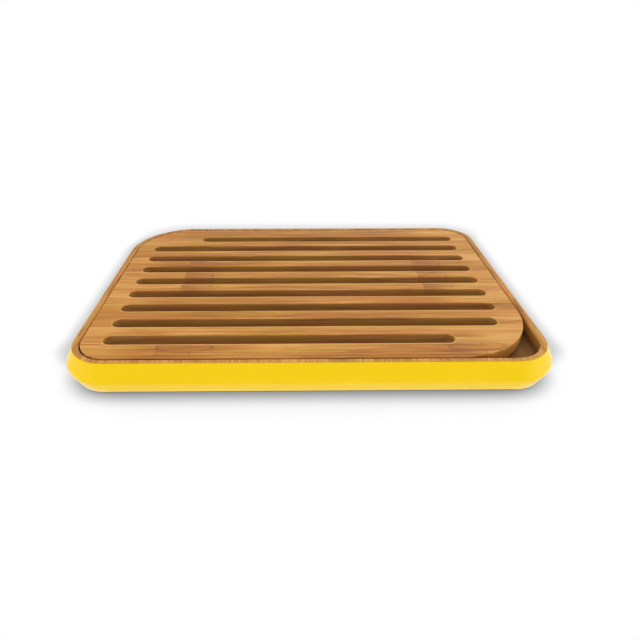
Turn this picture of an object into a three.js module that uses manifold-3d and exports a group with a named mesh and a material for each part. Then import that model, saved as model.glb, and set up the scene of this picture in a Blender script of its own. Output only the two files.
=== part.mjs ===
// Bread board of glued bamboo: a shallow crumb tray, lacquered outside, with a slotted rack lying in it.
// Millimetres, +X to the right, +Y to the back, +Z up.
// The origin is the point of the table under the middle of the tray.
import * as THREE from 'three';
import { mergeVertices } from 'three/addons/utils/BufferGeometryUtils.js';
import Module from 'manifold-3d';

const wasm = await Module();
wasm.setup();

// Tray, outside
const boardLength = 380; // widest outline, along X
const boardDepth = 270; // widest outline, along Y
const trayHeight = 28.2; // base to rim
const flareOut = 7.3; // rim's outline to the line where the two flanks would meet if it were sharp
const widestHeight = 14.4; // that line above the base
const baseInset = 1.1; // base inside the rim's outline
const cornerRadius = 31; // rim outline at three corners
const sweepRadius = 59.5; // rim outline at the back left corner
const creaseRadius = 5; // rounds that line to a soft crease
const baseEdgeRadius = 1.6;
const rimEdgeRadius = 0.8;

// Tray, inside
const rimWidth = 5; // wood of the wall at the rim
const rimInnerRadius = 2.5; // rim's inner edge, softer than its outer one
const pocketDepth = 15.4; // rim to floor
const coveRadius = 4; // foot of the inner wall
const ledgeWidth = 8; // step that carries the rack
const ledgeEdgeRadius = 0.6;
const ledgeCoveRadius = 2.5; // foot of the step

// Rack
const rackThickness = 10.6;
const rackDrop = 0.2; // rack's top below the rim
const rackGap = 0.8; // round the rack, to the tray's wall
const fingerRadius = 64.6; // rack's front right corner, which leaves the finger gap
const rackEdgeRadius = 0.8;
const seatGap = 0.3; // under the rack, to the step
const ledgeLap = 10; // the step runs this far in under the finger corner's arc

// Slots through the rack
const slotCount = 9;
const slotWidth = 12.2;
const slotSideMargin = 18.4; // rack's front and back edges to the nearest slots
const slotEndMargin = 17; // rack's left and right edges to the slots' ends
const slotEasedMargin = 23.2; // the same at the second slot's right end, by the finger corner
const slotShortMargin = 64.6; // the same at the front slot's right end and the back slot's left end

// Feet
const footRadius = 8;
const footThickness = 2;
const footSunk = 1; // in its round recess
const footGap = 0.3; // round and above the foot in its recess
const footInset = 32; // base edges to the foot's centre
const footEdgeRadius = 0.6;

// How finely round things are stepped
const cornerSteps = 14;
const slotSteps = 8; // for half of each round end
const filletSteps = 4;
const footSteps = 32;

const overrun = 1; // cuts and joins run past the faces they meet by this much
const quarterTurn = Math.PI / 2;

// Heights that follow
const baseHeight = footThickness - footSunk;
const rimHeight = baseHeight + trayHeight;
const floorHeight = rimHeight - pocketDepth;
const rackTop = rimHeight - rackDrop;
const rackBottom = rackTop - rackThickness;
const ledgeHeight = rackBottom - seatGap;

// A rounded rectangle about the origin. Its corners run anticlockwise from the front left one.
function roundedRectangle(length, depth, radii) {
  return { halfLength: length / 2, halfDepth: depth / 2, radii };
}

// How much of the flare the rounded crease takes away.
function creaseLoss() {
  const upperLean = Math.atan(flareOut / (trayHeight - widestHeight));
  const lowerLean = Math.atan((flareOut + baseInset) / widestHeight);
  const halfTurn = (upperLean + lowerLean) / 2;
  const skew = (upperLean - lowerLean) / 2;
  return creaseRadius * (Math.cos(skew) / Math.cos(halfTurn) - 1);
}

const rimToWidest = flareOut - creaseLoss();
const rim = roundedRectangle(
  boardLength - 2 * rimToWidest,
  boardDepth - 2 * rimToWidest,
  [cornerRadius, cornerRadius, cornerRadius, sweepRadius],
);

const wallToRack = rimWidth + rackGap;
const rackOutline = roundedRectangle(
  2 * (rim.halfLength - wallToRack),
  2 * (rim.halfDepth - wallToRack),
  [cornerRadius - wallToRack, fingerRadius, cornerRadius - wallToRack, sweepRadius - wallToRack],
);

// Centre, radius and first angle of each corner arc of a rounded rectangle.
function cornerArcs({ halfLength, halfDepth, radii }) {
  const signs = [[-1, -1], [1, -1], [1, 1], [-1, 1]];
  return radii.map((radius, corner) => ({
    x: signs[corner][0] * (halfLength - radius),
    y: signs[corner][1] * (halfDepth - radius),
    radius,
    start: (corner + 2) * quarterTurn,
  }));
}

// The outline as points at one height, moved outward by a distance. Every such ring has as many points.
function ring(outline, outward, height) {
  return cornerArcs(outline).flatMap(({ x, y, radius, start }) => {
    const points = [];
    for (let step = 0; step <= cornerSteps; step += 1) {
      const angle = start + (quarterTurn * step) / cornerSteps;
      const reach = radius + outward;
      points.push(new THREE.Vector3(x + reach * Math.cos(angle), y + reach * Math.sin(angle), height));
    }
    return points;
  });
}

// A chain of corners [across, up, radius] as points, each corner with a radius turned into an arc.
// The chain's two ends stay sharp. An arc is limited by half of the shorter side that it rounds.
function softened(corners) {
  return corners.flatMap(([across, up, radius], index) => {
    const corner = new THREE.Vector2(across, up);
    if (!radius) return [corner];
    const before = new THREE.Vector2(...corners[index - 1]).sub(corner);
    const after = new THREE.Vector2(...corners[index + 1]).sub(corner);
    const shortest = Math.min(before.length(), after.length());
    before.normalize();
    after.normalize();
    const halfAngle = Math.acos(before.dot(after)) / 2;
    const tangent = Math.min(radius / Math.tan(halfAngle), shortest / 2);
    const arcRadius = tangent * Math.tan(halfAngle);
    const centre = before.clone().add(after).normalize();
    centre.multiplyScalar(arcRadius / Math.sin(halfAngle)).add(corner);
    const first = corner.clone().addScaledVector(before, tangent).sub(centre);
    const last = corner.clone().addScaledVector(after, tangent).sub(centre);
    const turn = Math.atan2(first.cross(last), first.dot(last));
    const points = [];
    for (let step = 0; step <= filletSteps; step += 1) {
      const spoke = first.clone().rotateAround(new THREE.Vector2(), (turn * step) / filletSteps);
      points.push(spoke.add(centre));
    }
    return points;
  });
}

// Surface through rings of equal counts. It is closed by a fan over each end, or end to end as a loop.
function skin(rings, isLoop = false) {
  const count = rings[0].length;
  const vertices = rings.flat();
  const faces = [];
  const joins = isLoop ? rings.length : rings.length - 1;
  for (let row = 0; row < joins; row += 1) {
    const here = row * count;
    const above = ((row + 1) % rings.length) * count;
    for (let column = 0; column < count; column += 1) {
      const next = (column + 1) % count;
      faces.push(here + column, here + next, above + next);
      faces.push(here + column, above + next, above + column);
    }
  }
  if (!isLoop) {
    const lastRow = (rings.length - 1) * count;
    const firstCentre = vertices.length;
    vertices.push(new THREE.Vector3(0, 0, rings[0][0].z));
    vertices.push(new THREE.Vector3(0, 0, rings[rings.length - 1][0].z));
    for (let column = 0; column < count; column += 1) {
      const next = (column + 1) % count;
      faces.push(firstCentre, next, column);
      faces.push(firstCentre + 1, lastRow + column, lastRow + next);
    }
  }
  const geometry = new THREE.BufferGeometry().setFromPoints(vertices);
  geometry.setIndex(faces);
  return geometry;
}

// A geometry as a solid that can be cut and joined, and back again.
function toSolid(geometry) {
  const bare = geometry.clone();
  bare.deleteAttribute('normal');
  bare.deleteAttribute('uv');
  const merged = mergeVertices(bare);
  return new wasm.Manifold(new wasm.Mesh({
    numProp: 3,
    vertProperties: new Float32Array(merged.attributes.position.array),
    triVerts: new Uint32Array(merged.index.array),
  }));
}

function toGeometry(solid) {
  const mesh = solid.getMesh();
  const geometry = new THREE.BufferGeometry();
  geometry.setAttribute('position', new THREE.BufferAttribute(new Float32Array(mesh.vertProperties), 3));
  geometry.setIndex(new THREE.BufferAttribute(new Uint32Array(mesh.triVerts), 1));
  geometry.computeVertexNormals();
  return geometry;
}

// An upright round plug between two heights.
function plug(x, y, radius, bottom, top) {
  const geometry = new THREE.CylinderGeometry(radius, radius, top - bottom, footSteps);
  geometry.rotateX(quarterTurn);
  geometry.translate(x, y, (bottom + top) / 2);
  return geometry;
}

// The tray in section, from the base out to its edge, up the two flanks, over the rim, and down to the floor.
function trayShell() {
  const wall = -rimWidth;
  const section = softened([
    [-baseInset - baseEdgeRadius * 2, baseHeight, 0],
    [-baseInset, baseHeight, baseEdgeRadius],
    [flareOut, baseHeight + widestHeight, creaseRadius],
    [0, rimHeight, rimEdgeRadius],
    [wall, rimHeight, rimInnerRadius],
    [wall, floorHeight, coveRadius],
    [wall - coveRadius * 2, floorHeight, 0],
  ]);
  return skin(section.map(({ x, y }) => ring(rim, x, y)));
}

// The step round the inside wall. It stands a little into the wall and the floor, to become one with them.
function ledgeLoop() {
  const outside = overrun - rimWidth;
  const edge = -rimWidth - ledgeWidth;
  const buried = floorHeight - overrun;
  const section = [
    ...softened([
      [outside, ledgeHeight, 0],
      [edge, ledgeHeight, ledgeEdgeRadius],
      [edge, floorHeight + ledgeCoveRadius, 0],
    ]),
    ...coveBelow(edge),
    new THREE.Vector2(edge - ledgeCoveRadius, buried),
    new THREE.Vector2(outside, buried),
  ];
  return skin(section.map(({ x, y }) => ring(rim, x, y)), true);
}

// The hollow quarter round at the step's foot, from its upright face in to the floor.
function coveBelow(edge) {
  const points = [];
  for (let step = 1; step <= filletSteps; step += 1) {
    const angle = (quarterTurn * step) / filletSteps;
    points.push(new THREE.Vector2(
      edge - ledgeCoveRadius * (1 - Math.cos(angle)),
      floorHeight + ledgeCoveRadius * (1 - Math.sin(angle)),
    ));
  }
  return points;
}

// The round clearing at the front right corner, where the step is left out for a fingertip.
function fingerClearing() {
  const reach = fingerRadius - ledgeLap;
  return plug(
    rim.halfLength - rimWidth,
    -rim.halfDepth + rimWidth,
    reach,
    floorHeight - 2 * overrun,
    ledgeHeight + overrun,
  );
}

const footPlaces = {
  front_left: [-1, -1],
  front_right: [1, -1],
  back_right: [1, 1],
  back_left: [-1, 1],
};

function footCentre([sideX, sideY]) {
  const inward = baseInset + footInset;
  return [sideX * (rim.halfLength - inward), sideY * (rim.halfDepth - inward)];
}

function crumbTray() {
  const ledge = toSolid(ledgeLoop()).subtract(toSolid(fingerClearing()));
  let tray = toSolid(trayShell()).add(ledge);
  for (const sides of Object.values(footPlaces)) {
    const [x, y] = footCentre(sides);
    const recess = plug(x, y, footRadius + footGap, baseHeight - overrun, baseHeight + footSunk + footGap);
    tray = tray.subtract(toSolid(recess));
  }
  return toGeometry(tray);
}

// One slot with half-round ends, as a hole in the rack's outline.
function slotHole(left, right, middle) {
  const endRadius = slotWidth / 2;
  const hole = new THREE.Path();
  hole.absarc(right - endRadius, middle, endRadius, -quarterTurn, quarterTurn);
  hole.absarc(left + endRadius, middle, endRadius, quarterTurn, 3 * quarterTurn);
  hole.closePath();
  return hole;
}

// The slots from front to back. Three ends stop short of the rack's two large corners.
function slotHoles() {
  const { halfLength, halfDepth } = rackOutline;
  const front = slotWidth / 2 + slotSideMargin - halfDepth;
  const pitch = (-2 * front) / (slotCount - 1);
  const holes = [];
  for (let slot = 0; slot < slotCount; slot += 1) {
    let leftMargin = slotEndMargin;
    let rightMargin = slotEndMargin;
    if (slot === 0) rightMargin = slotShortMargin;
    if (slot === 1) rightMargin = slotEasedMargin;
    if (slot === slotCount - 1) leftMargin = slotShortMargin;
    holes.push(slotHole(leftMargin - halfLength, halfLength - rightMargin, front + pitch * slot));
  }
  return holes;
}

function slottedRack() {
  const board = new THREE.Shape();
  for (const { x, y, radius, start } of cornerArcs(rackOutline)) {
    board.absarc(x, y, radius, start, start + quarterTurn);
  }
  board.closePath();
  board.holes = slotHoles();
  const geometry = new THREE.ExtrudeGeometry(board, {
    depth: rackThickness - 2 * rackEdgeRadius,
    curveSegments: slotSteps,
    bevelThickness: rackEdgeRadius,
    bevelSize: rackEdgeRadius,
    bevelOffset: -rackEdgeRadius,
    bevelSegments: filletSteps - 1,
  });
  geometry.translate(0, 0, rackBottom + rackEdgeRadius);
  return geometry;
}

// A soft round pad, flat above and below, with its lower edge rounded.
function footPad() {
  const profile = softened([
    [0, 0, 0],
    [footRadius, 0, footEdgeRadius],
    [footRadius, footThickness, 0],
    [0, footThickness, 0],
  ]);
  const geometry = new THREE.LatheGeometry(profile, footSteps);
  geometry.rotateX(quarterTurn);
  return geometry;
}

const lacquer = new THREE.MeshStandardMaterial({ color: 0xf5ce22, roughness: 0.35, metalness: 0 });
const bamboo = new THREE.MeshStandardMaterial({ color: 0xc1864a, roughness: 0.55, metalness: 0 });
const silicone = new THREE.MeshStandardMaterial({ color: 0xd9d6cf, roughness: 0.8, metalness: 0 });

function piece(name, geometry, material) {
  const mesh = new THREE.Mesh(geometry, material.clone());
  mesh.name = name;
  return mesh;
}

const breadBoard = new THREE.Group();
breadBoard.add(piece('crumb_tray', crumbTray(), lacquer));
breadBoard.add(piece('slotted_rack', slottedRack(), bamboo));
for (const [place, sides] of Object.entries(footPlaces)) {
  const foot = piece(`foot_${place}`, footPad(), silicone);
  foot.position.set(...footCentre(sides), 0);
  breadBoard.add(foot);
}

export default breadBoard;
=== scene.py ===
# %% [markdown]
# A bread board in two pieces of bamboo: a low tray, lacquered yellow outside and left natural on the rim
# and inside, and a slotted rack that lies in it. Bread is cut on the rack, the crumbs fall through the
# slots, and the rack lifts out at the corner where it is rounded more than the tray.
# The construction comes first, as a fixed frame. Everything after this cell is laid over it in place.

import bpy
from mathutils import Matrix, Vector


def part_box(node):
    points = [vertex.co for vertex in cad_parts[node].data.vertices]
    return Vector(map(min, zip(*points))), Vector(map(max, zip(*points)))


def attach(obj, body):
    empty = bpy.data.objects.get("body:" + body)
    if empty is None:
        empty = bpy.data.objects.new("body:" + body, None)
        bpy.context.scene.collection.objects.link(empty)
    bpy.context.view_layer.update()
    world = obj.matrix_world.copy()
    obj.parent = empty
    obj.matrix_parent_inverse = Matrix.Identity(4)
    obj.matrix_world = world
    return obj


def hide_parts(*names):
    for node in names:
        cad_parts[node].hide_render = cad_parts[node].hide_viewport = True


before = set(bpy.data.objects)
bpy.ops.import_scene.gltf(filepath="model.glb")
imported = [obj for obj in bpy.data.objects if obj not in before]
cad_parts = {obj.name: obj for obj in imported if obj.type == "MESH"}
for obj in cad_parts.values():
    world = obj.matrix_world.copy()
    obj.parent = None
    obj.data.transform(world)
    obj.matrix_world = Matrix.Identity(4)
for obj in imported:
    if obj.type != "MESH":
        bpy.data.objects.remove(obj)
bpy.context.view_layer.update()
print("frame nodes:", sorted(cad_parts))

# %% [markdown]
# Sizes are written in millimetres, as a maker's drawing gives them, and turned into Blender's metres when
# a mesh is made. The overall sizes are read from the frame, so the finished surfaces can't drift away from
# it. The rest are the drawing's own: radii, steps and the places of the slots.

# %% Sizes
import math

import bpy
import numpy as np
from mathutils import Vector
from mathutils.geometry import tessellate_polygon

MM = 0.001
FOOT_NODES = ["foot_front_left", "foot_front_right", "foot_back_right", "foot_back_left"]


def box_mm(node):
    """Lowest and highest corner of a frame node, in millimetres."""
    low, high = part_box(node)
    return np.array(low) / MM, np.array(high) / MM


tray_low, tray_high = box_mm("crumb_tray")
rack_low, rack_high = box_mm("slotted_rack")

BASE = tray_low[2]
RIM = tray_high[2]
RACK_BOTTOM = rack_low[2]
RACK_TOP = rack_high[2]

FLARE = 7.3
CREASE_HEIGHT = 14.4
CREASE_RADIUS = 5.0
BASE_INSET = 1.1
BASE_EDGE = 1.6
CORNER_FULLNESS = 3.9
CORNER = 31.0
SWEEP_CORNER = 59.5
RIM_WIDTH = 5.0
RIM_EDGE = 0.8
RIM_INNER_EDGE = 2.5
POCKET_DEPTH = 15.4
COVE = 4.0
LEDGE_WIDTH = 8.0
LEDGE_EDGE = 0.6
LEDGE_COVE = 2.5
LEDGE_LAP = 10.0
SEAT_GAP = 0.3
RACK_GAP = 0.8
RACK_EDGE = 0.8
FINGER_CORNER = 64.6
SLOT_COUNT = 9
SLOT_WIDTH = 12.2
SLOT_SIDE_MARGIN = 18.4
SLOT_END_MARGIN = 17.0
SLOT_EASED_MARGIN = 23.2
SLOT_SHORT_MARGIN = 64.6
FOOT_EDGE = 0.6
FOOT_GAP = 0.3

FLOOR = RIM - POCKET_DEPTH
LEDGE = RACK_BOTTOM - SEAT_GAP
print(f"tray {np.round(tray_high - tray_low, 1)} mm, rack {np.round(rack_high - rack_low, 1)} mm")

# %% [markdown]
# The camera comes before the shapes, because every later choice is judged through it. The photograph was
# taken close up, so its perspective is strong: the slots' vanishing point and the rim's four corners give
# the camera's place, its tilt and its angle of view. The picture's middle isn't quite on the lens axis,
# which is what a small sideways shift is for.

# %% Camera
CAMERA_PLACE = np.array([-10.8, -426.7, 252.0])
CAMERA_TILT_DOWN = 32.05
CAMERA_TURN_RIGHT = 0.56
CAMERA_LENS = 28.66
CAMERA_SHIFT = 0.0308

camera = bpy.data.objects.new("camera", bpy.data.cameras.new("camera"))
bpy.context.scene.collection.objects.link(camera)
camera.location = CAMERA_PLACE * MM
camera.rotation_euler = np.radians([90.0 - CAMERA_TILT_DOWN, 0.0, -CAMERA_TURN_RIGHT])
camera.data.lens = CAMERA_LENS
camera.data.sensor_width = 36.0
camera.data.shift_x = CAMERA_SHIFT
camera.data.clip_start = 0.01
camera.data.clip_end = 50.0
bpy.context.scene.camera = camera
print(f"camera {np.linalg.norm(CAMERA_PLACE):.0f} mm from the board's middle")

# %% [markdown]
# Both boards are cut by a router that follows a rounded rectangle, so both are one idea: a section carried
# along a path. The path is a row of points with the direction that points away from the piece at each of
# them. Moving every point by the same distance along its direction gives a true parallel curve, which is
# how the flare, the rim and the step all stay even round the corners.


# %% Path round a rounded rectangle
CORNER_STEPS = 28
ROUND_STEPS = 12


def rounded_path(half_length, half_depth, radii, arc_steps, side_steps, middle=(0.0, 0.0)):
    """Points and outward directions round a rounded rectangle, anticlockwise from its front left corner.

    On a corner the point is centre + radius * (cos a, sin a) and the direction is (cos a, sin a), with a
    running through a quarter turn. On a side the points go evenly from one corner's end to the next
    one's start, and the direction stays the same. A side without length gives no points. side_steps are
    the steps on the front, right, back and left side.
    """
    signs = np.array([[-1, -1], [1, -1], [1, 1], [-1, 1]])
    radii = np.array(radii, float)
    centres = signs * (np.array([half_length, half_depth]) - radii[:, None])
    turns = np.radians(90.0) * (np.arange(4) + 2)
    points = []
    directions = []
    for corner in range(4):
        following = (corner + 1) % 4
        angles = turns[corner] + np.radians(90.0) * np.linspace(0.0, 1.0, arc_steps + 1)
        spokes = np.stack([np.cos(angles), np.sin(angles)], axis=1)
        arc = centres[corner] + radii[corner] * spokes
        end = centres[following] + radii[following] * spokes[-1]
        if np.linalg.norm(end - arc[-1]) < 1e-6:
            points.append(arc[:-1])
            directions.append(spokes[:-1])
            continue
        share = np.linspace(0.0, 1.0, side_steps[corner] + 1)[1:-1, None]
        points.extend([arc, arc[-1] + share * (end - arc[-1])])
        directions.extend([spokes, np.repeat(spokes[-1:], len(share), axis=0)])
    return np.concatenate(points) + np.array(middle), np.concatenate(directions)


def round_path(low, high, grow=0.0):
    """Path round a disc that fills a frame node's box, made larger by grow."""
    radius = (high - low)[0] / 2 + grow
    middle = (low + high)[:2] / 2
    return rounded_path(radius, radius, [radius] * 4, ROUND_STEPS, side_steps=[1] * 4, middle=middle)


print("a unit circle takes", len(rounded_path(1, 1, [1] * 4, ROUND_STEPS, [1] * 4)[0]), "points")

# %% [markdown]
# A section is a chain of corners, written as (outward, up, radius). Real arrises are never sharp, and
# it is their small radius that catches the light, so each corner can be given one. A soft surface over a
# flat one would shade the flat as if it bulged: a point close to each end of a straight stretch holds it.

# %% Sections
HOLD = 0.15


def arc(centre, radius, start, stop, steps):
    """Points centre + radius * (cos a, sin a), with a from start to stop in degrees."""
    angles = np.radians(np.linspace(start, stop, steps + 1))
    return np.array(centre) + radius * np.stack([np.cos(angles), np.sin(angles)], axis=1)


def softened(corners, steps):
    """A chain of corners as points, each corner that has a radius turned into an arc.

    With a the half angle between the corner's two sides, the arc touches them radius / tan(a) from the
    corner, and its centre lies radius / sin(a) from the corner, on the line that halves the angle.
    """
    chain = np.array(corners, float)
    found = [chain[:1, :2]]
    for before, corner, after in zip(chain[:-2, :2], chain[1:-1], chain[2:, :2]):
        place, radius = corner[:2], corner[2]
        back = (before - place) / np.linalg.norm(before - place)
        ahead = (after - place) / np.linalg.norm(after - place)
        half = math.acos(float(back @ ahead)) / 2
        middle = (back + ahead) / np.linalg.norm(back + ahead)
        centre = place + middle * radius / math.sin(half)
        first = place + back * radius / math.tan(half) - centre
        last = place + ahead * radius / math.tan(half) - centre
        start = math.degrees(math.atan2(first[1], first[0]))
        turn = math.degrees(math.atan2(first[0] * last[1] - first[1] * last[0], float(first @ last)))
        found.append(arc(centre, radius, start, start + turn, steps) if radius else place[None])
    found.append(chain[-1:, :2])
    return np.concatenate(found)


def held(section):
    """Adds a point HOLD away from each end of every long straight stretch of a section."""
    start, end = section[:-1], section[1:]
    length = np.linalg.norm(end - start, axis=1)[:, None]
    toward = (end - start) / length
    stretches = np.stack([start, start + toward * HOLD, end - toward * HOLD], axis=1)
    keep = np.repeat(length > 4 * HOLD, 3, axis=1)
    keep[:, 0] = True
    return np.concatenate([stretches[keep], section[-1:]])


def carried(path, across, up):
    """Surface of a section carried along a path: point + outward direction * across, at height up.

    across and up hold a section's numbers, one row each, or a row for every point of the path. The result
    has a row of points for each number of the section.
    """
    points, directions = path
    size = (len(up), len(points))
    across = np.broadcast_to(np.asarray(across, float).reshape(len(up), -1), size)
    up = np.broadcast_to(np.asarray(up, float).reshape(len(up), -1), size)
    flat = points[None] + directions[None] * across[..., None]
    return np.concatenate([flat, up[..., None]], axis=2)


def smooth(share):
    """3 s^2 - 2 s^3, which leaves 0 and reaches 1 without a kink."""
    share = np.clip(share, 0.0, 1.0)
    return share * share * (3.0 - 2.0 * share)


print("a square corner of 1 mm becomes", len(softened([(0, 0, 0), (5, 0, 1), (5, 5, 0)], 6)), "points")

# %% [markdown]
# A closed board is a few of these surfaces joined along the rings that they share, with flat faces to
# fill the rest: a rack's top is one flat face with nine holes. This builder keeps the points of all the
# surfaces in one list, so that neighbours share their ring and nothing has to be merged afterwards. Each
# ring also carries marks, such as how far it lies from the rim, which the finishes read later.


# %% Builder for closed pieces
class Piece:
    """Collects rings of points, their marks and the faces between them, and makes one mesh of it all."""

    def __init__(self, name, mark_names=()):
        self.name = name
        self.points = np.zeros((0, 3))
        self.marks = {mark: [] for mark in mark_names}
        self.quads = []
        self.triangles = []

    def add_surface(self, surface, flip=False, **marks):
        """Adds rows of points, joined to their neighbours by quads. Gives the points' numbers.

        A mark is one number for the whole surface, one for each row, or one for each point.
        """
        rows, columns = surface.shape[:2]
        numbers = len(self.points) + np.arange(rows * columns).reshape(rows, columns)
        self.points = np.concatenate([self.points, surface.reshape(-1, 3)])
        for mark, values in self.marks.items():
            given = np.asarray(marks[mark], float)
            given = given if given.ndim == 2 else given.reshape(-1, 1)
            values.append(np.broadcast_to(given, (rows, columns)).ravel())
        ahead = np.roll(numbers, -1, axis=1)
        quads = np.stack([numbers[:-1], ahead[:-1], ahead[1:], numbers[1:]], axis=-1).reshape(-1, 4)
        self.quads.append(quads[:, ::-1] if flip else quads)
        return numbers

    def add_flat(self, outer, holes=(), facing_up=True):
        """Fills the flat face between an outer ring and its holes, all rings of points that exist."""
        rings = [outer, *holes]
        flat = [[Vector(point) for point in self.points[ring]] for ring in rings]
        triangles = np.concatenate(rings)[np.array(tessellate_polygon(flat))]
        a, b, c = (self.points[triangles[:, corner], :2] for corner in range(3))
        turn = (b - a)[:, 0] * (c - a)[:, 1] - (b - a)[:, 1] * (c - a)[:, 0]
        wrong = (turn > 0) != facing_up
        triangles[wrong] = triangles[wrong][:, ::-1]
        self.triangles.append(triangles)

    def make(self, body, replaced):
        """Makes the mesh in metres, lets it ride on its body and stand for its frame node."""
        faces = np.concatenate(self.quads).tolist() + np.concatenate(self.triangles).tolist()
        mesh = bpy.data.meshes.new(self.name)
        mesh.from_pydata((self.points * MM).tolist(), [], faces)
        for mark, values in self.marks.items():
            attribute = mesh.attributes.new(mark, "FLOAT", "POINT")
            attribute.data.foreach_set("value", np.concatenate(values).astype(np.float32))
        mesh.polygons.foreach_set("use_smooth", np.ones(len(mesh.polygons), bool))
        mesh.update()
        piece = bpy.data.objects.new(self.name, mesh)
        bpy.context.scene.collection.objects.link(piece)
        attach(piece, body)
        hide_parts(replaced)
        print(f"{self.name}: {len(faces)} faces, {loose_edges(mesh)} loose edges, {volume(mesh):.0f} cm3")
        return piece


def loose_edges(mesh):
    """How many edges don't have exactly two faces. A closed piece has none."""
    edges = np.empty(len(mesh.loops), np.int32)
    mesh.loops.foreach_get("edge_index", edges)
    return int((np.bincount(edges, minlength=len(mesh.edges)) != 2).sum())


def volume(mesh):
    """Volume in cm3, the sum of a . (b x c) / 6 over all triangles: positive if they face outwards."""
    mesh.calc_loop_triangles()
    corners = np.empty(len(mesh.loop_triangles) * 3, np.int32)
    mesh.loop_triangles.foreach_get("vertices", corners)
    places = np.empty(len(mesh.vertices) * 3)
    mesh.vertices.foreach_get("co", places)
    a, b, c = places.reshape(-1, 3)[corners].reshape(-1, 3, 3).transpose(1, 0, 2)
    return float((a * np.cross(b, c)).sum()) / 6 * 1e6


print("builder ready")

# %% [markdown]
# The tray is one board, routed from above. In section it runs from the flat base out to a soft crease at
# half height, leans back in to the rim, and goes down inside to a step that carries the rack and on to the
# crumb floor. At the front right corner the step is left out, so that a fingertip can reach under the
# rack. There the section changes smoothly into a plain wall with a rounded foot.

# %% Tray sections
OUTSIDE_STEPS = 8
INSIDE_STEPS = 5
ABOVE_STEP = 1.0


def crease_loss():
    """How far the rounded crease stays inside the point where the two flanks would meet.

    The flanks lean by two angles from upright. The arc's middle lies radius / cos(half their sum) from
    its centre's line, less the radius, turned by half their difference.
    """
    upper = math.atan(FLARE / (RIM - BASE - CREASE_HEIGHT))
    lower = math.atan((FLARE + BASE_INSET) / CREASE_HEIGHT)
    return CREASE_RADIUS * (math.cos((upper - lower) / 2) / math.cos((upper + lower) / 2) - 1)


def outside_section():
    """From the underside round the base edge, the crease and the rim, and down to just above the step."""
    return held(
        softened(
            [
                (-BASE_INSET - 2 * BASE_EDGE, BASE, 0),
                (-BASE_INSET, BASE, BASE_EDGE),
                (FLARE, BASE + CREASE_HEIGHT, CREASE_RADIUS),
                (0, RIM, RIM_EDGE),
                (-RIM_WIDTH, RIM, RIM_INNER_EDGE),
                (-RIM_WIDTH, LEDGE + 2 * HOLD + ABOVE_STEP, 0),
            ],
            OUTSIDE_STEPS,
        )
    )


def inside_sections():
    """From the wall to the floor with the step, and without it, in equally many points.

    The two can then be mixed, point by point, where the step ends.
    """
    edge = -RIM_WIDTH - LEDGE_WIDTH
    wall = np.array([[-RIM_WIDTH, LEDGE + 2 * HOLD], [-RIM_WIDTH, LEDGE]])
    lip = arc((edge + LEDGE_EDGE, LEDGE - LEDGE_EDGE), LEDGE_EDGE, 90, 180, INSIDE_STEPS)
    foot = arc((edge - LEDGE_COVE, FLOOR + LEDGE_COVE), LEDGE_COVE, 0, -90, INSIDE_STEPS)
    with_step = held(np.concatenate([wall, lip, foot, foot[-1:] - [[4 * HOLD, 0]]]))

    plain_foot = arc((-RIM_WIDTH - COVE, FLOOR + COVE), COVE, 0, -90, INSIDE_STEPS)
    plain_end = np.array([[-RIM_WIDTH - COVE - 4 * HOLD, FLOOR]])
    spare = len(with_step) - len(plain_foot) - 1
    heights = np.linspace(LEDGE + ABOVE_STEP, FLOOR + COVE + HOLD, spare)
    plain_wall = np.stack([np.full(spare, -RIM_WIDTH), heights], axis=1)
    return with_step, np.concatenate([plain_wall, plain_foot, plain_end])


print("outside section", len(outside_section()), "points, inside", len(inside_sections()[0]))

# %% [markdown]
# The marks of the tray say where its finishes are: coat is how many millimetres of lacquered side lie
# between a ring and the rim, below zero on bare wood, and cut is 1 where the router has been. The four
# feet sit in round recesses, which are small surfaces of their own in the flat underside.

# %% Crumb tray
STEP_FADE = 5.0
TRAY_SIDE_STEPS = [120, 80, 48, 32]

rim_half = (tray_high - tray_low)[:2] / 2 - (FLARE - crease_loss())
rim_radii = [CORNER, CORNER, CORNER, SWEEP_CORNER]
rim_path = rounded_path(*rim_half, rim_radii, CORNER_STEPS, TRAY_SIDE_STEPS)


def step_share(points):
    """1 where the step is whole, 0 in the round clearing about the front right inner corner."""
    corner = np.array([rim_half[0] - RIM_WIDTH, RIM_WIDTH - rim_half[1]])
    reach = FINGER_CORNER - LEDGE_LAP
    distance = np.linalg.norm(points - corner, axis=1)
    return smooth((distance - reach) / STEP_FADE + 0.5)


def corner_fullness(heights, directions):
    """How far the lower flank stands out further at the corners, one row for each height.

    For a direction (dx, dy) it is CORNER_FULLNESS * (|dx| + |dy| - 1), which is nothing on the sides and
    most in the middle of a corner, and it fades in a straight line from the base up to the crease.
    """
    lower = np.clip(1.0 - (heights - BASE) / CREASE_HEIGHT, 0.0, 1.0)
    return lower[:, None] * CORNER_FULLNESS * (np.abs(directions).sum(axis=1) - 1.0)[None]


def tray_marks(section):
    """The marks coat and cut for each ring of the whole section."""
    lengths = np.linalg.norm(np.diff(section, axis=0), axis=1)
    run = np.concatenate([[0.0], lengths.cumsum()])
    rim_ring = int(np.argmax((section[:, 1] > RIM - RIM_EDGE) & (section[:, 0] > -RIM_EDGE)))
    inner = (RIM - section[:, 1] - RIM_INNER_EDGE) / RIM_INNER_EDGE
    inner[: rim_ring + 1] = 0.0
    return {"coat": run[rim_ring] - run, "cut": np.clip(inner, 0.0, 1.0)}


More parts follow.
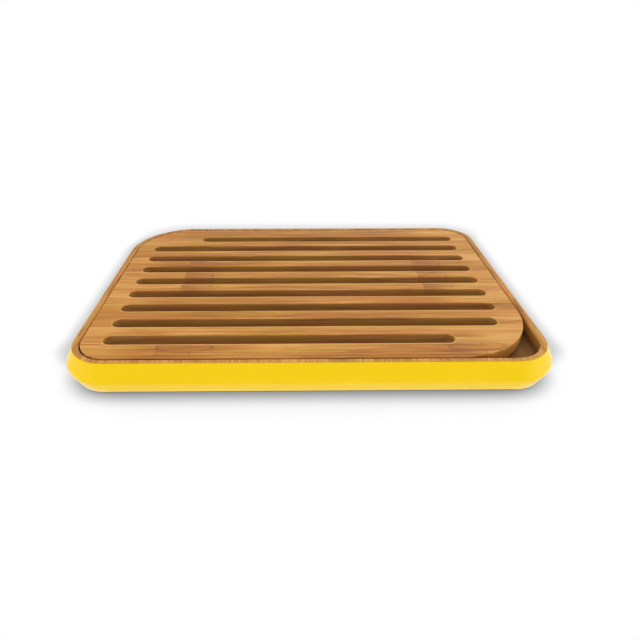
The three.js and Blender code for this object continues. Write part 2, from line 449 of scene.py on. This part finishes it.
def build_tray():
    tray = Piece("tray_shell", ["coat", "cut"])
    outside = outside_section()
    with_step, plain = inside_sections()
    share = step_share(rim_path[0])
    inside = plain[:, None] + share[None, :, None] * (with_step - plain)[:, None]
    outside_everywhere = np.repeat(outside[:, None], len(share), axis=1)
    outside_everywhere[..., 0] += corner_fullness(outside[:, 1], rim_path[1])
    section = np.concatenate([outside_everywhere, inside])
    marks = tray_marks(np.concatenate([outside, with_step]))
    rows = tray.add_surface(carried(rim_path, section[..., 0], section[..., 1]), **marks)
    tray.add_flat(rows[-1], facing_up=True)
    recesses = []
    for name in FOOT_NODES:
        low, high = box_mm(name)
        ceiling = high[2] + FOOT_GAP
        wall = held(np.array([[4 * HOLD, BASE], [0, BASE], [0, ceiling], [-4 * HOLD, ceiling]]))
        surface = carried(round_path(low, high, FOOT_GAP), wall[:, 0], wall[:, 1])
        recess = tray.add_surface(surface, coat=marks["coat"][0], cut=0.0)
        tray.add_flat(recess[-1], facing_up=False)
        recesses.append(recess[0])
    tray.add_flat(rows[0], recesses, facing_up=False)
    return tray.make("tray", "crumb_tray")


tray_shell = build_tray()

# %% [markdown]
# The rack is a flat board with softly rounded arrises and nine slots. A slot is the same kind of path, a
# rounded rectangle whose ends are full half circles, so the board's own edge section serves it too, with
# its direction turned round because the wood lies outside. Three slot ends stop short, to leave solid wood
# at the two large corners. The mark arris makes the rounded edges a little paler all round, as wear. It is
# strongest on the edges that face the back, which is a painted highlight of light from behind.

# %% Slotted rack
rack_half = (rack_high - rack_low)[:2] / 2
ARRIS_FADE = 2.2
ARRIS_STEPS = 6
ARRIS_WEAR_SHARE = 0.12
CUT_START = 0.3
SANDED_EDGE = 0.25
RACK_SIDE_STEPS = [48, 32, 48, 32]
SLOT_SIDE_STEPS = [36] * 4


def slot_path(index):
    """Path round one slot, counted from the front."""
    radius = SLOT_WIDTH / 2
    front = SLOT_SIDE_MARGIN + radius - rack_half[1]
    pitch = -2 * front / (SLOT_COUNT - 1)
    left_margin = SLOT_SHORT_MARGIN if index == SLOT_COUNT - 1 else SLOT_END_MARGIN
    right_margin = {0: SLOT_SHORT_MARGIN, 1: SLOT_EASED_MARGIN}.get(index, SLOT_END_MARGIN)
    left = left_margin - rack_half[0]
    right = rack_half[0] - right_margin
    middle = ((left + right) / 2, front + pitch * index)
    return rounded_path((right - left) / 2, radius, [radius] * 4, ROUND_STEPS, SLOT_SIDE_STEPS, middle)


def board_edge():
    """Section of a board's edge with two rounded arrises, from its underside round to its top."""
    return held(
        softened(
            [
                (-ARRIS_FADE, RACK_BOTTOM, 0),
                (0, RACK_BOTTOM, RACK_EDGE),
                (0, RACK_TOP, RACK_EDGE),
                (-ARRIS_FADE, RACK_TOP, 0),
            ],
            ARRIS_STEPS,
        )
    )


def board_marks(section, facing):
    """The marks arris and cut on an edge. facing holds the directions that its surface looks in."""
    inset = -section[:, 0]
    depth = np.minimum(RACK_TOP - section[:, 1], section[:, 1] - RACK_BOTTOM)
    arris = 1.0 - np.clip(np.hypot(inset, depth) - RACK_EDGE, 0.0, RACK_EDGE) / RACK_EDGE
    # Every arris is a little paler as wear; those facing the back most, a painted highlight of light from
    # behind.
    wear_and_back_highlight = ARRIS_WEAR_SHARE + (1.0 - ARRIS_WEAR_SHARE) * np.clip(facing[:, 1], 0.0, 1.0)
    cut = np.clip(depth / RACK_EDGE - CUT_START, 0.0, 1.0)
    return {"arris": arris[:, None] * wear_and_back_highlight[None], "cut": cut}


def build_rack():
    rack = Piece("rack_board", ["arris", "cut"])
    section = board_edge()
    inner_corner = CORNER - RIM_WIDTH - RACK_GAP
    radii = [inner_corner, FINGER_CORNER, inner_corner, SWEEP_CORNER - RIM_WIDTH - RACK_GAP]
    outline = rounded_path(*rack_half, radii, CORNER_STEPS, RACK_SIDE_STEPS)
    marks = board_marks(section, outline[1])
    marks["cut"] *= SANDED_EDGE
    around = rack.add_surface(carried(outline, section[:, 0], section[:, 1]), **marks)
    slots = []
    for index in range(SLOT_COUNT):
        path = slot_path(index)
        marks = board_marks(section, -path[1])
        wall = carried(path, -section[:, 0], section[:, 1])
        slots.append(rack.add_surface(wall, flip=True, **marks))
    rack.add_flat(around[-1], [slot[-1] for slot in slots], facing_up=True)
    rack.add_flat(around[0], [slot[0] for slot in slots], facing_up=False)
    return rack.make("rack", "slotted_rack")


rack_board = build_rack()

# %% [markdown]
# Four soft pads keep the board from sliding while bread is cut. Each is turned about its own axis: a
# circle as the path, and a section that is flat below with a rounded edge.


# %% Feet
FOOT_EDGE_STEPS = 5


def build_foot(name):
    low, high = box_mm(name)
    inset = -3 * FOOT_EDGE
    section = held(
        softened(
            [
                (inset, low[2], 0),
                (0, low[2], FOOT_EDGE),
                (0, high[2], FOOT_EDGE / 2),
                (inset, high[2], 0),
            ],
            FOOT_EDGE_STEPS,
        )
    )
    foot = Piece("pad_" + name)
    rows = foot.add_surface(carried(round_path(low, high), section[:, 0], section[:, 1]))
    foot.add_flat(rows[-1], facing_up=True)
    foot.add_flat(rows[0], facing_up=False)
    return foot.make("tray", name)


feet = [build_foot(name) for name in FOOT_NODES]

# %% [markdown]
# Finishes are written as sums. This class wraps a socket, so that a * b or 1 - a adds the Math node that
# does it, and one method makes any other node from its type, its settings and what feeds its sockets.


# %% Shader arithmetic
class Wire:
    """One output socket of a node tree, which the usual operators work on."""

    def __init__(self, graph, socket):
        self.graph = graph
        self.socket = socket

    def math(self, operation, first, second=0.0):
        return self.graph.node("ShaderNodeMath", {"operation": operation}, {0: first, 1: second})

    def __add__(self, other):
        return self.math("ADD", self, other)

    def __sub__(self, other):
        return self.math("SUBTRACT", self, other)

    def __rsub__(self, other):
        return self.math("SUBTRACT", other, self)

    def __mul__(self, other):
        return self.math("MULTIPLY", self, other)

    def __truediv__(self, other):
        return self.math("DIVIDE", self, other)

    def __pow__(self, other):
        return self.math("POWER", self, other)

    __radd__ = __add__
    __rmul__ = __mul__

    def whole(self):
        return self.math("FLOOR", self)

    def size(self):
        return self.math("ABSOLUTE", self)

    def larger(self, other):
        return self.math("MAXIMUM", self, other)

    def smaller(self, other):
        return self.math("MINIMUM", self, other)


class Graph:
    """The node tree of a material or of the world."""

    def __init__(self, owner):
        owner.use_nodes = True
        self.owner = owner
        self.tree = owner.node_tree
        self.tree.nodes.clear()

    def feed(self, socket, value):
        """Links a wire to a socket, or sets the socket's own number or colour."""
        if isinstance(value, Wire):
            self.tree.links.new(value.socket, socket)
        else:
            socket.default_value = value

    def node(self, kind, settings=None, inputs=None, output=0):
        """Any node: its settings are set first, then its sockets by name or number. Gives one output."""
        made = self.tree.nodes.new(kind)
        for name, value in (settings or {}).items():
            if name == "stops":
                self.set_stops(made.color_ramp, value)
            else:
                setattr(made, name, value)
        for key, value in (inputs or {}).items():
            self.feed(made.inputs[key], value)
        return Wire(self, made.outputs[output]) if made.outputs else None

    def set_stops(self, ramp, stops):
        while len(ramp.elements) > 1:
            ramp.elements.remove(ramp.elements[-1])
        for index, (place, colour) in enumerate(stops):
            element = ramp.elements[0] if index == 0 else ramp.elements.new(place)
            element.position = place
            element.color = (*colour, 1.0)

    def mix(self, factor, first, second):
        """Colours first and second mixed by a factor."""
        settings = {"data_type": "RGBA", "clamp_factor": True}
        return self.node("ShaderNodeMix", settings, {0: factor, 6: first, 7: second}, output=2)

    def ramp(self, value, stops):
        return self.node("ShaderNodeValToRGB", {"stops": stops}, {0: value})

    def map(self, value, low, high, to_low=0.0, to_high=1.0):
        """value taken smoothly from the range low..high to to_low..to_high."""
        settings = {"interpolation_type": "SMOOTHSTEP"}
        inputs = {0: value, 1: low, 2: high, 3: to_low, 4: to_high}
        return self.node("ShaderNodeMapRange", settings, inputs)

    def near(self, value, middle, inner, outer):
        """1 where value is within inner of middle, and 0 where it is further away than outer."""
        return 1.0 - self.map((value - middle).size(), inner, outer)

    def vector(self, x, y, z):
        return self.node("ShaderNodeCombineXYZ", {}, {0: x, 1: y, 2: z})

    def noise(self, x, y, z, detail=2.0, roughness=0.5):
        inputs = {"Vector": self.vector(x, y, z), "Scale": 1.0, "Detail": detail, "Roughness": roughness}
        return self.node("ShaderNodeTexNoise", {}, inputs)

    def scatter(self, x, y):
        """A number from 0 to 1 that jumps about as x and y change."""
        return self.node("ShaderNodeTexWhiteNoise", {}, {"Vector": self.vector(x, y, 0.0)})

    def mark(self, name):
        """One of the marks that a piece carries on its rings."""
        return self.node("ShaderNodeAttribute", {"attribute_name": name}, {}, output="Fac")

    def place(self):
        """The place on the piece in millimetres, as three wires."""
        where = self.node("ShaderNodeTexCoord", {}, {}, output="Object")
        scaled = self.node("ShaderNodeVectorMath", {"operation": "SCALE"}, {0: where, "Scale": 1.0 / MM})
        split = self.node("ShaderNodeSeparateXYZ", {}, {0: scaled})
        return [Wire(self, split.socket.node.outputs[axis]) for axis in range(3)]

    def bump(self, height, depth):
        """A normal that follows a height from 0 to 1, which stands for depth in millimetres."""
        inputs = {"Strength": 1.0, "Distance": depth * MM, "Height": height}
        return self.node("ShaderNodeBump", {}, inputs)

    def surface(self, **values):
        """Ends the tree in a Principled shader, with _ for the spaces in its sockets' names."""
        inputs = {name.replace("_", " "): value for name, value in values.items()}
        shader = self.node("ShaderNodeBsdfPrincipled", {}, inputs)
        self.node("ShaderNodeOutputMaterial", {}, {"Surface": shader})
        return self.owner


def linear(red, green, blue):
    """A colour as a picture shows it, 0 to 255, in the linear numbers that a shader takes."""
    values = np.array([red, green, blue]) / 255.0
    shown = np.where(values <= 0.04045, values / 12.92, ((values + 0.055) / 1.055) ** 2.4)
    return tuple(float(value) for value in shown)


def solid(red, green, blue):
    return (*linear(red, green, blue), 1.0)


print("a mid grey of 128 is written", round(linear(128, 128, 128)[0], 3))

# %% [markdown]
# Bamboo board is glued up from flat strips, all with their fibres one way. What the eye reads as bamboo is
# that each strip has its own tone, that darker and lighter streaks run along it, and that every hand's
# breadth or two a node crosses it: the wood turns browner at a sharp front, is crossed by a thin line, and
# fades back. All of it is worked out from the place in the wood in millimetres, so the pattern goes right
# through the board and the walls of the slots show the cut that they would.

# %% Bamboo
STRIP_WIDTH = 20.0
BAND_WIDTH = 6.6
NODE_GAP = 223.0
NODE_LENGTH = 44.0
NODE_LINE = 27.0
NODE_FRAY = 2.6

WOOD_TONES = [
    (0.08, linear(136, 77, 22)),
    (0.32, linear(165, 103, 31)),
    (0.5, linear(184, 123, 44)),
    (0.7, linear(201, 141, 59)),
    (0.92, linear(220, 161, 86)),
]
GOLDEN = solid(193, 142, 40)
ROSY = solid(189, 117, 48)
NODE_BROWN = solid(152, 88, 34)
LINE_BROWN = solid(118, 68, 30)
DARK_STREAK = solid(124, 70, 22)


def node_distance(graph, along, across, start, scattering):
    """Millimetres past the front of the last node, with a front that frays from fibre to fibre."""
    luck = graph.scatter((across / STRIP_WIDTH).whole(), 3.0)
    count = (along - start + luck * scattering) / NODE_GAP
    fray = (graph.noise(along * 0.12, across * 0.9, 5.0, detail=3.0) - 0.5) * NODE_FRAY
    return (count - count.whole()) * NODE_GAP + fray


def bamboo(graph, along, across, down, past, noded, contrast, tone):
    """Colour, roughness and height of bamboo board, from the place in the wood in millimetres.

    past is the distance past the last node, noded is 1 where the strips show their nodes, tone is the
    middle tone from 0 for dark to 1 for pale, and contrast is how far the tones spread about it.
    """
    strip_luck = graph.scatter((across / STRIP_WIDTH).whole(), 17.0)
    band_place = across / BAND_WIDTH
    band = band_place.whole()
    band_luck = graph.scatter(band, 21.0)
    shift = band_luck * 60.0
    broad = graph.noise(along * 0.009, across * 0.06, down * 0.05)
    streaks = graph.noise(along * 0.012 + shift, across * 0.5, down * 0.5, detail=4.0, roughness=0.62)
    fibres = graph.noise(along * 0.05 + shift, across * 2.4, down * 2.4, detail=2.0, roughness=0.6)
    busy = graph.map(graph.noise(along * 0.011, across * 0.035, 64.0), 0.36, 0.62, 0.45, 1.35)
    spread = strip_luck * 0.3 + band_luck * 0.2 + broad * 1.1 - 0.8
    spread = spread + ((streaks - 0.5) * 2.1 + (fibres - 0.5) * 0.9) * busy
    colour = graph.ramp(spread * contrast + tone, WOOD_TONES)
    hue = graph.noise(along * 0.008, across * 0.13, down * 0.1 + 40.0)
    golden = graph.map(hue, 0.52, 0.68, 0.0, 0.6)
    rosy = graph.map(hue, 0.52, 0.38, 0.0, 0.5)
    colour = graph.mix(golden, colour, GOLDEN)
    colour = graph.mix(rosy, colour, ROSY)

    mottle = graph.map(graph.noise(along * 0.05, across * 0.4, down * 0.4 + 31.0), 0.35, 0.6, 0.45, 1.0)
    front = graph.map(past, 0.0, 1.4)
    fading = 1.0 - graph.map(past, 8.0, NODE_LENGTH)
    colour = graph.mix(front * fading * mottle * noded * 0.8, colour, NODE_BROWN)
    short = graph.map(graph.noise(along * 0.01, across * 0.16, 77.0), 0.48, 0.54)
    line = graph.near(past, NODE_LINE, 0.3, 1.1) * short * noded
    colour = graph.mix(line * 0.6, colour, LINE_BROWN)

    dashes = graph.map(graph.noise(along * 0.03, across * 1.3, down * 1.3 + 9.0), 0.6, 0.72)
    colour = graph.mix(dashes * 0.4, colour, DARK_STREAK)
    glue = graph.map((band_place - band - 0.5).size(), 0.47, 0.5)
    colour = graph.mix(glue * 0.14, colour, DARK_STREAK)

    height = streaks * 0.5 + fibres * 0.5 - dashes * 0.35 - line * 0.5 - glue * 0.3
    roughness = fibres * 0.2 + streaks * 0.15 + 0.36
    return colour, roughness, height


print("strips of", STRIP_WIDTH, "mm with a node every", NODE_GAP, "mm")

# %% [markdown]
# The rack is the same bamboo, fine sanded and oiled. Its middle strips come from one cane, so their nodes
# line up, and in the front strip the saw met a node at a slant, which leaves a long oval outline. The
# router's cut soaks up more oil than the sanded top, so the walls of the slots are browner, and their dull
# olive and plum is partly painted shade. The arrises are pale: worn, and on those that face the back also
# a painted highlight. Both ends of the board are paler, and the right one's greater paleness is painted
# light from the right.


# %% Oiled rack
FIBRE_DEPTH = 0.06
FIRST_NODE = -117.0
MIDDLE_STRIPS = (12.0, 30.0, 33.0)
FRONT_STRIP = (-112.0, 8.0, 11.0)
RIGHT_END = (80.0, 165.0)
LEFT_END = (-120.0, -165.0)
RACK_TONE = 0.49
OVAL_MIDDLE = -109.0
OVAL_HALF_WIDTH = 5.5
ARRIS_WEAR_AND_HIGHLIGHT = solid(226, 176, 98)
SLOT_OLIVE = solid(138, 108, 58)
SLOT_PLUM = solid(144, 98, 72)


def routed_and_shaded(graph, colour, cut, along, across, olive, plum):
    """Colour where the router has been, by the mark cut: duller, and now olive, now plum brown. On the
    rack's slot walls this is partly painted shade; inside the tray it is painted shade.
    """
    turning = graph.map(graph.noise(along * 0.014, across * 0.03, 12.0), 0.4, 0.6)
    return graph.mix(cut * 0.55, colour, graph.mix(turning, olive, plum))


def oval_node(graph, past, across, middle):
    """The outline of an oval NODE_LENGTH long about a line across = middle, from 0 to 1."""
    along_share = past / (NODE_LENGTH / 2) - 1.0
    across_share = (across - middle) / OVAL_HALF_WIDTH
    reach = along_share * along_share + across_share * across_share
    return graph.near(reach, 1.0, 0.05, 0.28)


def oiled_bamboo():
    graph = Graph(bpy.data.materials.new("oiled_bamboo"))
    x, y, z = graph.place()
    past = node_distance(graph, x, y, FIRST_NODE, scattering=1.5)
    noded = graph.near(y, *MIDDLE_STRIPS) + graph.near(y, *FRONT_STRIP) * 0.55
    # Paler towards both ends; the right end's greater paleness is painted light from the right.
    tone = graph.map(x, *RIGHT_END) * 0.28 + graph.map(x, *LEFT_END) * 0.18 + RACK_TONE
    colour, roughness, height = bamboo(graph, x, y, z, past, noded, contrast=1.0, tone=tone)
    oval = oval_node(graph, past, y, OVAL_MIDDLE)
    colour = graph.mix(oval * 0.4, colour, DARK_STREAK)
    # Pale arrises: wear, and on back-facing edges a painted highlight.
    arris_wear_and_highlight = graph.noise(x * 0.03, y * 0.3, z * 0.3) * 1.43
    colour = graph.mix(graph.mark("arris") * arris_wear_and_highlight, colour, ARRIS_WEAR_AND_HIGHLIGHT)
    # The slot walls' dull colour is partly painted shade.
    colour = routed_and_shaded(graph, colour, graph.mark("cut"), x, y, SLOT_OLIVE, SLOT_PLUM)
    normal = graph.bump(height, FIBRE_DEPTH)
    return graph.surface(Base_Color=colour, Roughness=roughness, Normal=normal, Specular_IOR_Level=0.2)


rack_board.data.materials.append(oiled_bamboo())
print("rack finished in oiled bamboo")

# %% [markdown]
# The tray's wood runs from front to back, across the rack's. Its rim is sanded pale, with fine dark pores
# across the front, is stained golden next to the lacquer and has darkened towards the back. The routed
# inside is much duller, because no light gets to it.


# %% Wood of the tray
TRAY_STRIP_SHIFT = 7.0
RIM_BACK = (70.0, 125.0)
STAIN_REACH = (-3.2, -0.4)
RIM_PALE = solid(212, 160, 102)
RIM_PORE = solid(150, 93, 50)
RIM_AGED = solid(140, 96, 60)
RIM_STAIN = solid(204, 155, 32)
INSIDE_SHADE_OLIVE = solid(84, 66, 62)
INSIDE_SHADE_PLUM = solid(106, 76, 78)


def tray_wood(graph, x, y, z, coat):
    """Colour, roughness and height of the tray's own wood. coat is below zero where it is bare."""
    cut = graph.mark("cut")
    sanded = 1.0 - cut
    past = node_distance(graph, y, x, start=20.0, scattering=200.0)
    noded = graph.map(graph.scatter((x / STRIP_WIDTH).whole(), 9.0), 0.5, 0.6)
    across = x + TRAY_STRIP_SHIFT
    contrast = 1.7 - cut * 1.15
    colour, roughness, height = bamboo(graph, y, across, z, past, noded, contrast, tone=0.6)
    pores = graph.map(graph.noise(x * 0.55, y * 0.03, 21.0), 0.55, 0.64)
    aged = graph.map(y, *RIM_BACK)
    stained = graph.map(coat, *STAIN_REACH)
    colour = graph.mix(sanded * 0.3, colour, RIM_PALE)
    colour = graph.mix(sanded * pores * 0.75, colour, RIM_PORE)
    colour = graph.mix(sanded * aged * 0.3, colour, RIM_AGED)
    # Painted shade: the routed inside of the tray is much darker.
    colour = routed_and_shaded(graph, colour, cut, y, x, INSIDE_SHADE_OLIVE, INSIDE_SHADE_PLUM)
    colour = graph.mix(stained * 0.45, colour, RIM_STAIN)
    return colour, roughness, height


print("the tray's strips are shifted by", TRAY_STRIP_SHIFT, "mm")

# %% [markdown]
# Outside, the tray is under yellow lacquer, which fills the fibres and leaves only a faint ripple. It is
# warmer towards both ends. Its colour is painted paler at the right end and on the lower flank, as light
# from the right and from the white sheet below would make it. It is palest at the foot of the two front
# corners, which is a painted highlight. Each pair of numbers below is where such a change starts and ends,
# in millimetres. At the rim, the lacquer stops in a line that wanders by a fraction of a millimetre.


# %% Lacquered tray
LACQUER = (0.845, 0.56, 0.003, 1.0)
LACQUER_CLOUD = (0.865, 0.585, 0.005, 1.0)
LACQUER_END = (0.95, 0.625, 0.004, 1.0)
LACQUER_RIGHT_LIT = (0.96, 0.71, 0.09, 1.0)
LACQUER_LOW_LIT = (0.96, 0.64, 0.022, 1.0)
LACQUER_FOOT_HIGHLIGHT = (1.0, 0.94, 0.72, 1.0)
LACQUER_SPECK = (0.78, 0.47, 0.01, 1.0)
BOTH_ENDS = (148.0, 184.0)
TRAY_RIGHT = (155.0, 190.0)
LOWER_FLANK = (15.0, 21.0)
CORNER_SIDE = (148.0, 172.0)
CORNER_FRONT = (-78.0, -104.0)
FOOT_HIGHLIGHT_REACH = (18.0, 35.0)
FLANK_RISE = (160.0, 178.0)


def lacquer_colour(graph, x, y, z, coat, cloud):
    """Colour of the lacquer, coat millimetres below the rim, with slow changes from the noise cloud."""
    end = graph.map(x.size(), *BOTH_ENDS)
    # Painted light: the right end is paler, as if lit from that side.
    right = graph.map(x, *TRAY_RIGHT) * 0.5
    # Painted light: the lower flank is paler, as if lit by the white sheet below.
    low = graph.map(coat + cloud * 3.0, *LOWER_FLANK)
    # Painted highlight: palest at the foot of the two front corners, like a reflection of the white sheet.
    front_corner_highlight = graph.map(x.size(), *CORNER_SIDE) * graph.map(y, *CORNER_FRONT)
    rise = graph.map(x.size(), *FLANK_RISE) * 10.0
    foot = graph.map(coat + cloud * 2.0 + rise, *FOOT_HIGHLIGHT_REACH) ** 1.7
    speck = graph.map(graph.noise(x * 1.7, y * 1.7, z * 1.7, detail=1.0), 0.7, 0.78)
    colour = graph.mix(cloud, LACQUER, LACQUER_CLOUD)
    colour = graph.mix(end, colour, LACQUER_END)
    colour = graph.mix(low, colour, LACQUER_LOW_LIT)
    colour = graph.mix(right, colour, LACQUER_RIGHT_LIT)
    # The foot's painted highlight.
    colour = graph.mix(foot * (front_corner_highlight * 0.55 + 0.1), colour, LACQUER_FOOT_HIGHLIGHT)
    return graph.mix(speck * 0.1, colour, LACQUER_SPECK)


def lacquered_bamboo():
    graph = Graph(bpy.data.materials.new("lacquer_and_bamboo"))
    x, y, z = graph.place()
    coat = graph.mark("coat")
    wood, wood_roughness, wood_height = tray_wood(graph, x, y, z, coat)
    cloud = graph.noise(x * 0.02, y * 0.02, z * 0.06)
    ripple = graph.noise(x * 0.45, y * 0.45, z * 0.45)
    wander = graph.noise(x * 0.35, y * 0.35, z * 0.35, detail=3.0) * 0.4
    covered = graph.map(coat + wander, 0.1, 0.3)
    colour = graph.mix(covered, wood, lacquer_colour(graph, x, y, z, coat, cloud))
    gloss = ripple * 0.05 + cloud * 0.05 + 0.15
    roughness = wood_roughness + covered * (gloss - wood_roughness)
    height = wood_height * (1.0 - covered * 0.9) + ripple * covered * 0.4
    normal = graph.bump(height, FIBRE_DEPTH)
    return graph.surface(Base_Color=colour, Roughness=roughness, Normal=normal, Specular_IOR_Level=0.12)


tray_shell.data.materials.append(lacquered_bamboo())
print("tray finished in lacquer and bamboo")

# %% [markdown]
# The pads are milky silicone: matte, slightly clouded, with the dust that such pads pick up.


# %% Silicone
SILICONE_DIM = (0.60, 0.58, 0.54, 1.0)
SILICONE_CLEAR = (0.72, 0.70, 0.66, 1.0)


def silicone():
    graph = Graph(bpy.data.materials.new("silicone"))
    x, y, z = graph.place()
    cloud = graph.noise(x * 0.3, y * 0.3, z * 0.3, detail=3.0)
    grain = graph.noise(x * 6.0, y * 6.0, z * 6.0)
    colour = graph.mix(cloud, SILICONE_DIM, SILICONE_CLEAR)
    return graph.surface(Base_Color=colour, Roughness=cloud * 0.1 + 0.55, Normal=graph.bump(grain, 0.02))


pad_silicone = silicone()
for foot in feet:
    foot.data.materials.append(pad_silicone)
print("four pads finished in silicone")

# %% [markdown]
# The stage is a white sheet under an even white sky that is a little brighter at the horizon, like a photo
# studio's white sweep, with one broad soft lamp overhead and weak ones behind and at both sides. The sheet
# shows the camera how much of the sky each spot of it sees, and how much of a wide lamp above the front:
# together they are the soft grey shadow round the board. On the board it throws plain white light.

# %% Stage
FLOOR_REACH = 20.0
SHADOW_REACH = 0.25
SKY_GAIN = 1.28
SKY_LOSS = 0.03
BOUNCE = 0.95
LAMP_PLACE = (-11.0, -427.0, 252.0)
LAMP_SHARE = 0.36
LAMP_SHARE_BEHIND = 0.26
LAMP_FADE = (-3.0, 12.0)
BACK_START = 88.0
FLANK_MORE = 4.5
FLANK_FRONT = (-95.0, -120.0)
FLANK_SIDE = (5.0, 25.0)
HORIZON_HEIGHT = 0.35


def seen_directly(graph):
    """1 for rays from the camera and for those that a mirror or glass sends on, 0 for all others."""
    camera_ray, glossy_ray, clear_ray = (
        graph.node("ShaderNodeLightPath", {}, {}, output=f"Is {kind} Ray")
        for kind in ("Camera", "Glossy", "Transmission")
    )
    return camera_ray.larger(glossy_ray).larger(clear_ray)


def rim_shadow(graph, x, y):
    """How much a wide lamp at LAMP_PLACE is dimmed at a spot of the sheet, because the board hides it.

    The line from the spot to the lamp passes the rim's height at spot + (lamp - spot) * rise. Outside the
    rim, that place's distance from it is its distance from the nearest corner's centre, less the radius.
    The shadow fades out over that distance, and twice as slowly behind the board, where the lamp shines
    flatter. At the front corners, where the flank hides the lamp too, it reaches flank millimetres more.
    """
    rise = float(RIM / LAMP_PLACE[2])
    across = x * (1.0 - rise) + LAMP_PLACE[0] * rise
    along = y * (1.0 - rise) + LAMP_PLACE[1] * rise
    swept = graph.map(across, 20.0, -20.0) * graph.map(along, -20.0, 20.0)
    radius = swept * (SWEEP_CORNER - CORNER) + CORNER
    past_side = (across.size() + radius - float(rim_half[0])).larger(0.0)
    past_back = (along.size() + radius - float(rim_half[1])).larger(0.0)
    distance = (past_side * past_side + past_back * past_back) ** 0.5 - radius
    behind = graph.map(along, BACK_START, float(rim_half[1]))
    flank = graph.map(along, *FLANK_FRONT) * graph.map(past_side, *FLANK_SIDE) * FLANK_MORE
    hidden = 1.0 - graph.map(distance * (1.0 - behind * 0.5) - flank, *LAMP_FADE)
    return hidden * (LAMP_SHARE - behind * (LAMP_SHARE - LAMP_SHARE_BEHIND))


def floor_light(graph):
    """Brightness of the sheet: the sky that a spot sees, less the shadow of the lamp above the front."""
    x, y = graph.place()[:2]
    open_sky = graph.node("ShaderNodeAmbientOcclusion", {"samples": 16}, {"Distance": SHADOW_REACH}, "AO")
    sky = (open_sky * SKY_GAIN - SKY_LOSS).smaller(1.0)
    return sky * (1.0 - rim_shadow(graph, x, y))


def build_floor():
    corners = [(x * FLOOR_REACH, y * FLOOR_REACH, 0.0) for x, y in ((-1, -1), (1, -1), (1, 1), (-1, 1))]
    mesh = bpy.data.meshes.new("floor")
    mesh.from_pydata(corners, [], [(0, 1, 2, 3)])
    floor = bpy.data.objects.new("floor", mesh)
    bpy.context.scene.collection.objects.link(floor)
    graph = Graph(bpy.data.materials.new("white_sheet"))
    seen = seen_directly(graph)
    shown = floor_light(graph)
    light = seen * shown + (1.0 - seen) * BOUNCE
    grey = graph.vector(light, light, light)
    sheet = graph.node("ShaderNodeEmission", {}, {"Color": grey, "Strength": 1.0})
    graph.node("ShaderNodeOutputMaterial", {}, {"Surface": sheet})
    mesh.materials.append(graph.owner)


def build_sky(level, horizon):
    world = bpy.data.worlds.new("white_sky")
    graph = Graph(world)
    direction = graph.node("ShaderNodeTexCoord", {}, {}, output="Generated")
    height = graph.node("ShaderNodeSeparateXYZ", {}, {0: direction}, output="Z")
    light = graph.map(height, 0.0, HORIZON_HEIGHT, level + horizon, level)
    seen = seen_directly(graph)
    strength = seen + (1.0 - seen) * light
    sky = graph.node("ShaderNodeBackground", {}, {"Color": (1, 1, 1, 1), "Strength": strength})
    graph.node("ShaderNodeOutputWorld", {}, {"Surface": sky})
    bpy.context.scene.world = world


def add_lamp(name, share, elevation, azimuth, spread):
    """A far, soft lamp. share is the brightness that it alone gives white paper that faces it."""
    lamp = bpy.data.objects.new(name, bpy.data.lights.new(name, "SUN"))
    lamp.data.energy = share * math.pi
    lamp.data.angle = math.radians(spread)
    lamp.rotation_euler = np.radians([90.0 - elevation, 0.0, azimuth])
    bpy.context.scene.collection.objects.link(lamp)


build_floor()
build_sky(level=0.6, horizon=1.8)
add_lamp("overhead", 0.26, elevation=90.0, azimuth=0.0, spread=80.0)
add_lamp("behind", 0.09, elevation=35.0, azimuth=165.0, spread=30.0)
add_lamp("right", 0.08, elevation=20.0, azimuth=65.0, spread=40.0)
add_lamp("left", 0.05, elevation=20.0, azimuth=-65.0, spread=40.0)
bpy.context.scene.view_settings.view_transform = "Standard"
print("stage, sky and four lamps ready")
